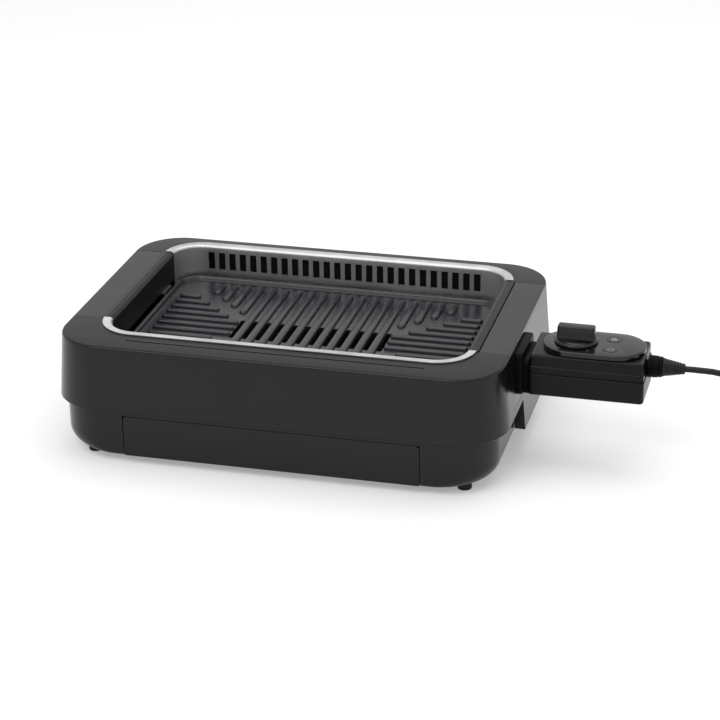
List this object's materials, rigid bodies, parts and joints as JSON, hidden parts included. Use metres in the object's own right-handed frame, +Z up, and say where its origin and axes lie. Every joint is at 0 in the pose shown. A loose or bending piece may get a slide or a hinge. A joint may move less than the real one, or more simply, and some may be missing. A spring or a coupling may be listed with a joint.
{
  "type": "smokeless table grill",
  "caption": "Electric table grill with a metal-lined recess, lift-out ribbed plate between side covers, drip drawer, smoke fan and plug-in control unit with cord.",
  "frame": {"origin": "on the floor, under the middle of the bounding box of the grill with its control unit, without the free cord", "axes": "+X to the right, towards the control unit; +Y to the rear, where the smoke duct is; +Z up"},
  "size_m": [0.816, 0.313, 0.1392],
  "materials": {
    "body_black": "satin black",
    "cover_black": "matte top, glossy side",
    "unit_black": "semi-gloss black",
    "panel_grey": "satin grey",
    "inner_black": "matte black",
    "liner_metal": "brushed",
    "plate_coating": "dark non-stick coating",
    "plain_steel": "plain",
    "contact_brass": "plain",
    "board": "laminate",
    "foot_rubber": "matte",
    "cord_rubber": "satin"
  },
  "bodies": {
    "housing": {"base_shell": "body_black", "upper_shell": "body_black", "metal_liner": "liner_metal", "reflector_pan": "liner_metal", "smoke_duct": "inner_black", "fan_plenum": "inner_black", "fan_case": "inner_black", "fan_motor": "plain_steel", "runner_left": "plain_steel", "runner_right": "plain_steel", "rubber_foot_left_front": "foot_rubber", "rubber_foot_left_rear": "foot_rubber", "rubber_foot_right_front": "foot_rubber", "rubber_foot_right_rear": "foot_rubber"},
    "plate": {"grill_plate": "plate_coating", "heating_element": "plain_steel", "element_clamp_front": "plain_steel", "element_clamp_rear": "plain_steel", "element_clamp_left": "plain_steel", "right_cover": "cover_black", "left_cover": "cover_black", "right_lip": "body_black", "left_lip": "body_black", "bracket_left": "plain_steel", "bracket_right": "plain_steel", "inlet_socket": "inner_black", "terminal_front": "contact_brass", "terminal_rear": "contact_brass"},
    "control_unit": {"control_case_bottom": "unit_black", "control_case_top": "unit_black", "control_panel": "panel_grey", "connector_neck": "unit_black", "contact_sleeve_front": "contact_brass", "contact_sleeve_rear": "contact_brass", "temperature_probe": "plain_steel", "circuit_board": "board", "potentiometer": "plain_steel", "fan_switch": "inner_black", "power_switch": "inner_black", "cord_gland": "unit_black", "strain_relief": "cord_rubber", "cord_lead": "cord_rubber", "cord_coil": "cord_rubber", "mains_plug": "cord_rubber", "plug_pin_front": "contact_brass", "plug_pin_rear": "contact_brass"},
    "knob": {"knob": "unit_black", "knob_shaft": "plain_steel"},
    "fan_button": {"fan_button": "unit_black"},
    "power_button": {"power_button": "unit_black"},
    "drawer": {"drawer_front": "body_black", "drip_tray": "inner_black"},
    "fan": {"fan_impeller": "inner_black", "fan_shaft": "plain_steel"}
  },
  "joints": [
    {"name": "plate_lift", "type": "slide", "parent": "housing", "child": "plate", "axis": [0, 0, 1], "range_m": [0, 0.12]},
    {"name": "unit_pull", "type": "slide", "parent": "plate", "child": "control_unit", "axis": [1, 0, 0], "range_m": [0, 0.065]},
    {"name": "knob_turn", "type": "hinge", "parent": "control_unit", "child": "knob", "pos_m": [0.209, -0.036, 0.1223], "axis": [0, 0, -1], "range_deg": [0, 270]},
    {"name": "fan_button_press", "type": "slide", "parent": "control_unit", "child": "fan_button", "axis": [0, 0, -1], "range_m": [0, 0.001], "stiffness_N_per_m": 600, "springref_m": -0.0005},
    {"name": "power_button_press", "type": "slide", "parent": "control_unit", "child": "power_button", "axis": [0, 0, -1], "range_m": [0, 0.001], "stiffness_N_per_m": 600, "springref_m": -0.0005},
    {"name": "drawer_slide", "type": "slide", "parent": "housing", "child": "drawer", "axis": [0, -1, 0], "range_m": [0, 0.2]},
    {"name": "fan_spin", "type": "hinge", "parent": "housing", "child": "fan", "pos_m": [-0.067, 0.109, 0.0254], "axis": [0, 0, 1], "continuous": true}
  ]
}
